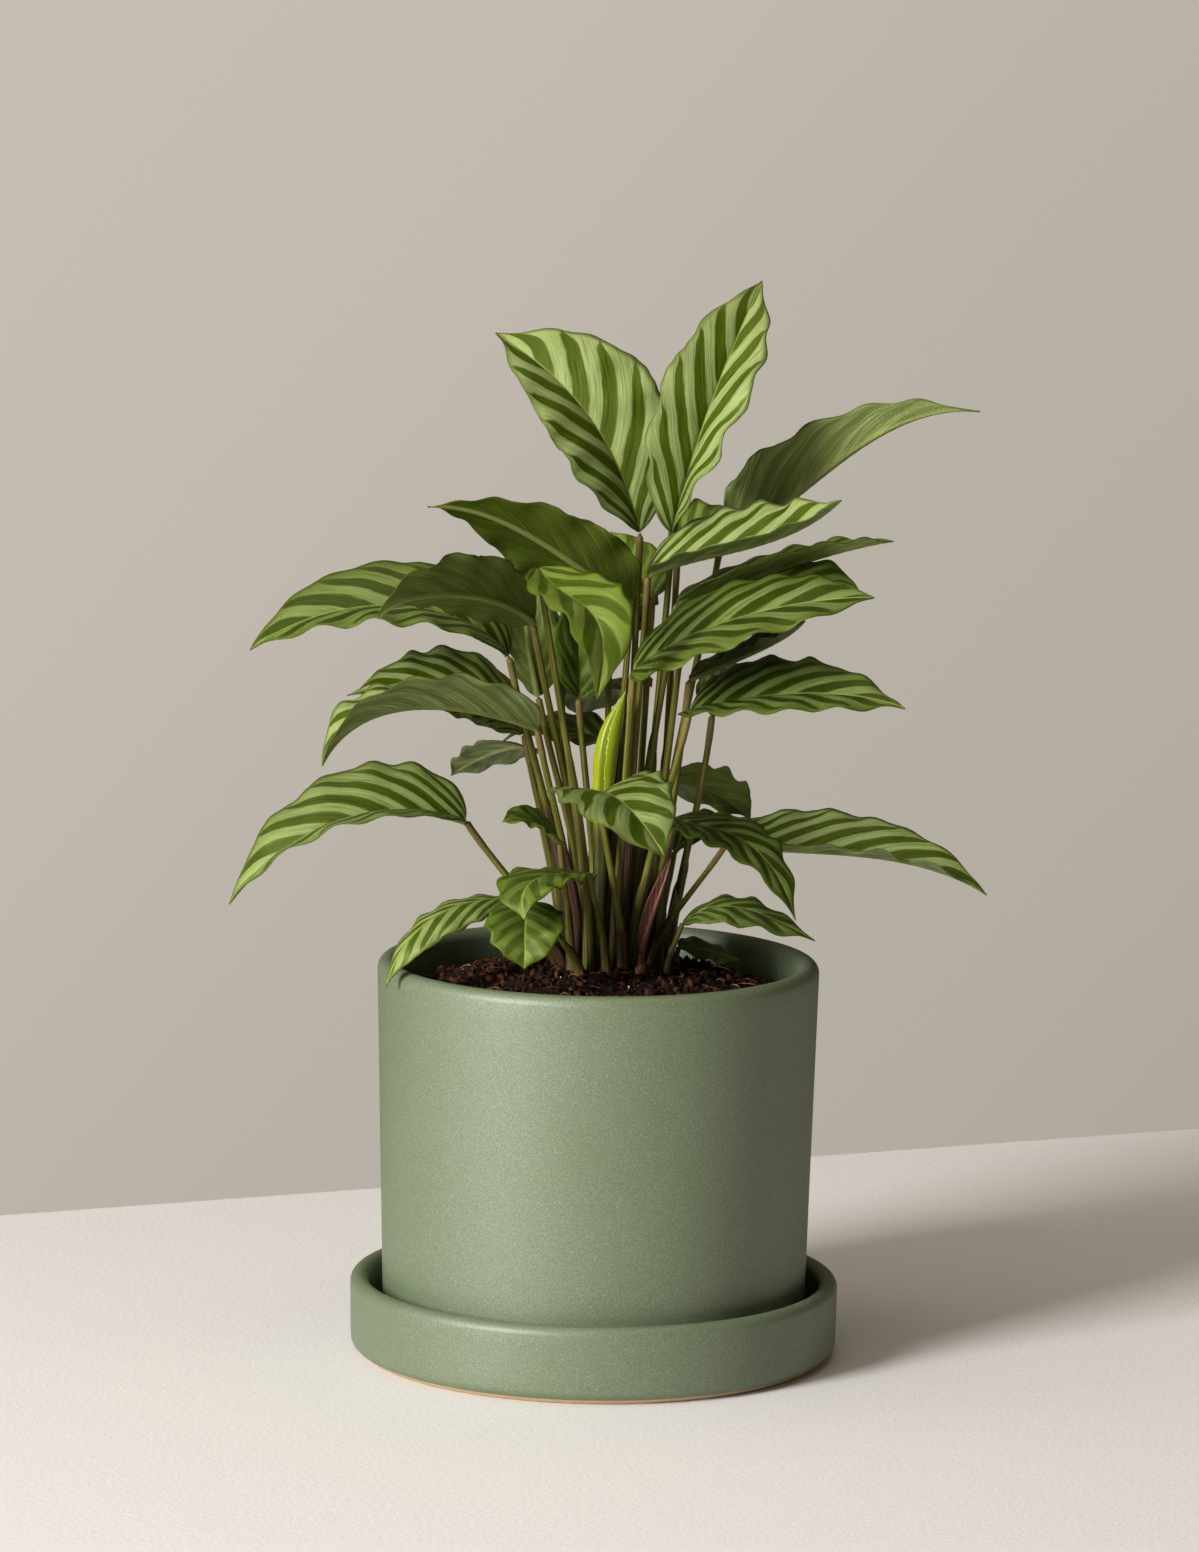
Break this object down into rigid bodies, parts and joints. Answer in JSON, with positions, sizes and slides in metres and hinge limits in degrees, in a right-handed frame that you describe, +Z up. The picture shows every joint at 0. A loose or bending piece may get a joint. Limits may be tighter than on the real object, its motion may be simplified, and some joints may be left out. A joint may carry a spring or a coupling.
{
  "type": "potted striped prayer plant",
  "caption": "Striped prayer plant with arching banded leaves on slim stems, in a glazed round pot standing in its saucer.",
  "frame": {"origin": "middle of the saucer's flat underside", "axes": "+Z up along the axis of the pot and the saucer, +X to the right and +Y away from the front of the plant"},
  "size_m": [0.2818, 0.1839, 0.4014],
  "materials": {
    "glaze": "satin speckled glaze",
    "soil": "loose potting mix",
    "leaf": "living leaf with a soft sheen",
    "new_leaf": "young rolled leaf",
    "red_sheath": "dry leaf sheath"
  },
  "bodies": {
    "root": {"saucer": "glaze", "pot": "glaze", "soil": "soil", "leaf_crown_left": "leaf", "leaf_crown_right": "leaf", "leaf_right_high": "leaf", "leaf_right_pale": "leaf", "leaf_right_thin": "leaf", "leaf_right_broad": "leaf", "leaf_right_behind": "leaf", "leaf_right_middle": "leaf", "leaf_right_shaded": "leaf", "leaf_left_high": "leaf", "leaf_left_folded": "leaf", "leaf_left_broad": "leaf", "leaf_left_behind": "leaf", "leaf_left_middle": "leaf", "leaf_left_small": "leaf", "leaf_left_low": "leaf", "leaf_front_lime": "leaf", "leaf_left_olive": "leaf", "leaf_middle_dark": "leaf", "leaf_back_left": "leaf", "leaf_back_shaded": "leaf", "leaf_front_middle": "leaf", "leaf_front_small": "leaf", "leaf_right_back": "leaf", "leaf_right_hanging": "leaf", "leaf_right_long": "leaf", "leaf_right_low": "leaf", "leaf_right_soil": "leaf", "leaf_front_left": "leaf", "leaf_front_low": "leaf", "leaf_over_rim": "leaf", "leaf_crown_back": "leaf", "leaf_back_lime": "leaf", "leaf_left_back": "leaf", "leaf_back_right": "leaf", "leaf_back_middle": "leaf", "leaf_back_low": "leaf", "sheath_red": "red_sheath", "sheath_green": "leaf", "new_leaf_rolled": "new_leaf"}
  },
  "joints": []
}
